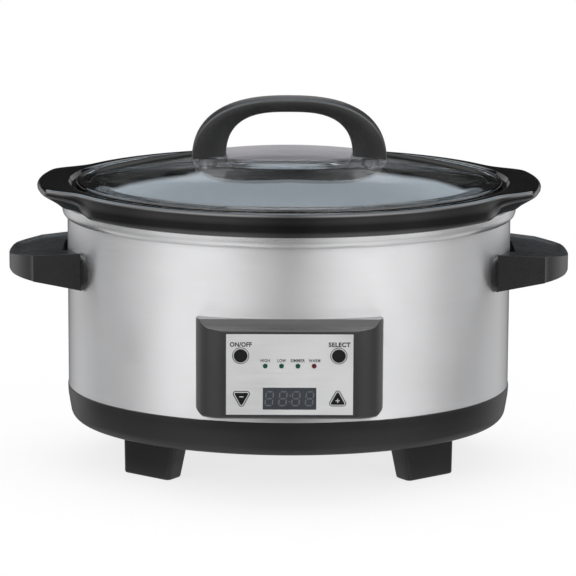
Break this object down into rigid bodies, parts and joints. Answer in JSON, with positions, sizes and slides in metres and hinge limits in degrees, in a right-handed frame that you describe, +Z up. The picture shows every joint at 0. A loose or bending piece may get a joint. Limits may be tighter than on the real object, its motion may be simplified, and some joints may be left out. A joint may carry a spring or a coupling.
{
  "type": "slow cooker",
  "caption": "Oval slow cooker with a brushed steel wall, black stoneware crock, clear glass lid with an arched handle, side handles and a front control panel with a display.",
  "frame": {"origin": "on the surface it stands on, under the centre of the oval body", "axes": "+X to the right seen from the front, +Y towards the back, +Z up; the control panel faces -Y"},
  "size_m": [0.42, 0.2777, 0.2754],
  "materials": {
    "brushed_wall": "brushed round the body",
    "brushed_collar": "brushed round the ring",
    "liner_aluminium": "drawn, dull",
    "bright_aluminium": "rolled, bright",
    "band_insulation": "woven glass-fibre wrap",
    "strap_steel": "galvanised",
    "zinc_steel": "bright zinc plate",
    "base_plastic": "fine moulded grain",
    "foot_rubber": "matt",
    "handle_plastic": "fine moulded grain",
    "bezel_plastic": "satin",
    "faceplate_silver": "fine horizontal brushing",
    "trim_silver": "satin plated",
    "button_black": "satin",
    "smoked_window": "smoked, clear coated",
    "part_black": "moulded",
    "lens_green": "tinted",
    "lens_red": "tinted",
    "lamp_clear": "diffuse",
    "board_green": "solder mask",
    "switch_black": "moulded",
    "cable_grey": "ribbed flat cable",
    "board_brown": "phenolic board",
    "part_blue": "moulded",
    "terminal_ceramic": "unglazed",
    "fuse_ceramic": "unglazed",
    "lead_silicone": "sleeved",
    "gland_rubber": "matt",
    "black_glaze": "gloss glaze",
    "clear_glass": "clear, tempered"
  },
  "bodies": {
    "cooker": {"outer_shell": "brushed_wall", "collar_ring": "brushed_collar", "liner_pot": "liner_aluminium", "heat_shield": "bright_aluminium", "heat_band": "band_insulation", "heater_straps": "strap_steel", "strap_screws": "zinc_steel", "base_pan": "base_plastic", "feet": "base_plastic", "foot_screws": "zinc_steel", "foot_pads": "foot_rubber", "liner_brackets": "strap_steel", "floor_deflector": "bright_aluminium", "base_screws": "zinc_steel", "side_handle_left": "handle_plastic", "side_handle_right": "handle_plastic", "handle_plates": "strap_steel", "handle_screws": "zinc_steel", "panel_bezel": "bezel_plastic", "panel_screws": "zinc_steel", "faceplate": "faceplate_silver", "button_trims": "trim_silver", "display_window": "smoked_window", "display_module": "part_black", "led_lenses_green": "lens_green", "led_lens_red": "lens_red", "led_lamps": "lamp_clear", "control_board": "board_green", "control_parts": "part_black", "tact_switches": "switch_black", "board_screws": "zinc_steel", "ribbon_cable": "cable_grey", "power_board": "board_brown", "power_parts": "part_blue", "power_screws": "zinc_steel", "terminal_block": "terminal_ceramic", "temp_sensor": "strap_steel", "thermal_fuse": "fuse_ceramic", "leads": "lead_silicone", "cord_gland": "gland_rubber"},
    "crock": {"stoneware_crock": "black_glaze"},
    "lid": {"lid_glass": "clear_glass", "lid_handle": "handle_plastic", "handle_gaskets": "gland_rubber", "lid_washers": "strap_steel", "lid_screws": "zinc_steel"},
    "onoff": {"onoff_button": "button_black"},
    "select": {"select_button": "button_black"},
    "minus": {"minus_button": "button_black"},
    "plus": {"plus_button": "button_black"}
  },
  "joints": [
    {"name": "crock_lift", "type": "slide", "parent": "cooker", "child": "crock", "axis": [0, 0, 1], "range_m": [0, 0.16]},
    {"name": "lid_lift", "type": "slide", "parent": "crock", "child": "lid", "axis": [0, 0, 1], "range_m": [0, 0.1]},
    {"name": "onoff_press", "type": "slide", "parent": "cooker", "child": "onoff", "axis": [0, 1, 0], "range_m": [0, 0.0008], "stiffness_N_per_m": 600},
    {"name": "select_press", "type": "slide", "parent": "cooker", "child": "select", "axis": [0, 1, 0], "range_m": [0, 0.0008], "stiffness_N_per_m": 600},
    {"name": "minus_press", "type": "slide", "parent": "cooker", "child": "minus", "axis": [0, 1, 0], "range_m": [0, 0.0008], "stiffness_N_per_m": 600},
    {"name": "plus_press", "type": "slide", "parent": "cooker", "child": "plus", "axis": [0, 1, 0], "range_m": [0, 0.0008], "stiffness_N_per_m": 600}
  ]
}
